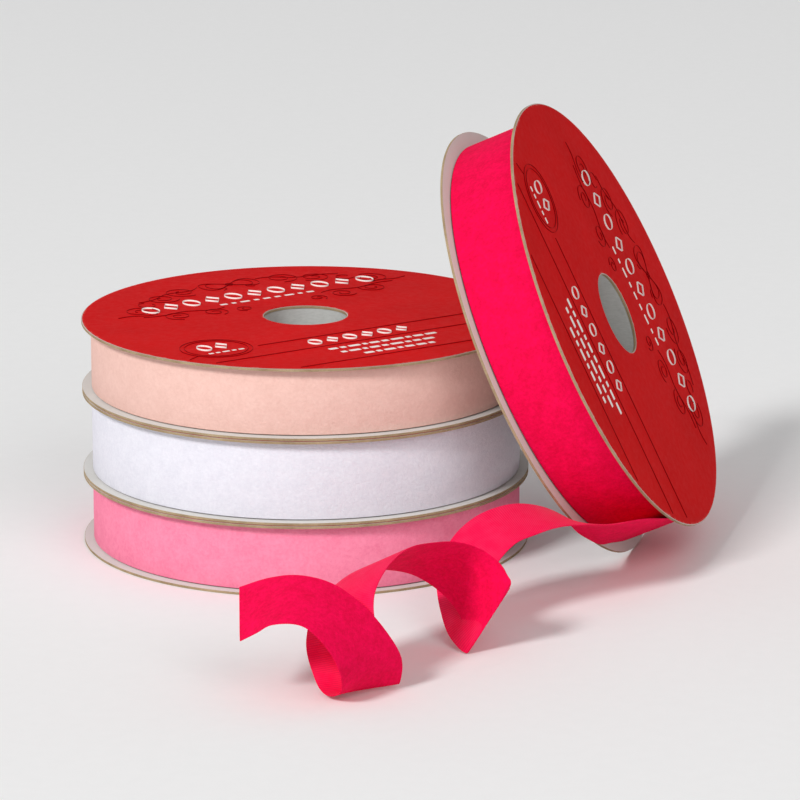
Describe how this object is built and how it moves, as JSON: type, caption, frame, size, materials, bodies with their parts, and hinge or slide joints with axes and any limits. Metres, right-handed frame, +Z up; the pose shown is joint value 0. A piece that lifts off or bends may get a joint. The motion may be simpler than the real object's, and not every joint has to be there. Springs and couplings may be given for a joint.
{
  "type": "ribbon spool set",
  "caption": "Ribbon spools with paperboard flanges and a wide winding core, stacked, with one more leaning on the stack and its free ribbon running out in two curls.",
  "frame": {"origin": "the middle of the whole set's footprint, on the table", "axes": "+Z up, +Y along the set's longest side, from the free ribbon's curls to the far side of the stack, +X towards the leaning spool"},
  "size_m": [0.1546, 0.1938, 0.1061],
  "materials": {
    "paperboard": "matte paperboard, pale inner liner and brown cut edge",
    "red_print": "satin printed paper",
    "grey_board": "matte wound board",
    "clear_tape": "clear glossy film",
    "peach_ribbon": "matte felted face, fine ribs behind",
    "white_ribbon": "matte felted face, fine ribs behind",
    "pink_ribbon": "matte felted face, fine ribs behind",
    "crimson_ribbon": "matte felted face, fine ribs behind"
  },
  "bodies": {
    "pink_spool": {"pink_back_flange": "paperboard", "pink_core_tube": "grey_board", "pink_winding_drum": "paperboard", "pink_ribbon_roll": "pink_ribbon", "pink_front_flange": "paperboard", "pink_front_label": "red_print", "pink_end_tape": "clear_tape", "crimson_ribbon_tail": "crimson_ribbon"},
    "white_spool": {"white_back_flange": "paperboard", "white_core_tube": "grey_board", "white_winding_drum": "paperboard", "white_ribbon_roll": "white_ribbon", "white_front_flange": "paperboard", "white_front_label": "red_print", "white_end_tape": "clear_tape"},
    "peach_spool": {"peach_back_flange": "paperboard", "peach_core_tube": "grey_board", "peach_winding_drum": "paperboard", "peach_ribbon_roll": "peach_ribbon", "peach_front_flange": "paperboard", "peach_front_label": "red_print", "peach_end_tape": "clear_tape"},
    "leaning_pair": {"crimson_ribbon_lead": "crimson_ribbon"},
    "crimson_spool": {"crimson_back_flange": "paperboard", "crimson_core_tube": "grey_board", "crimson_winding_drum": "paperboard", "crimson_ribbon_roll": "crimson_ribbon", "crimson_front_flange": "paperboard", "crimson_front_label": "red_print"}
  },
  "joints": [
    {"name": "white_lift", "type": "slide", "parent": "pink_spool", "child": "white_spool", "axis": [-0.4841, 0.1252, 0.866], "range_m": [0, 0.04]},
    {"name": "peach_lift", "type": "slide", "parent": "white_spool", "child": "peach_spool", "axis": [-0.4841, 0.1252, 0.866], "range_m": [0, 0.06]},
    {"name": "leaning_tilt", "type": "hinge", "parent": "pink_spool", "child": "leaning_pair", "pos_m": [0.05668, 0.03367, 0], "axis": [0.2504, 0.9681, 0], "range_deg": [0, 24.8]},
    {"name": "crimson_spin", "type": "hinge", "parent": "leaning_pair", "child": "crimson_spool", "pos_m": [0.0347, 0.03936, 0.04905], "axis": [0.8784, -0.2272, 0.4204], "continuous": true}
  ]
}
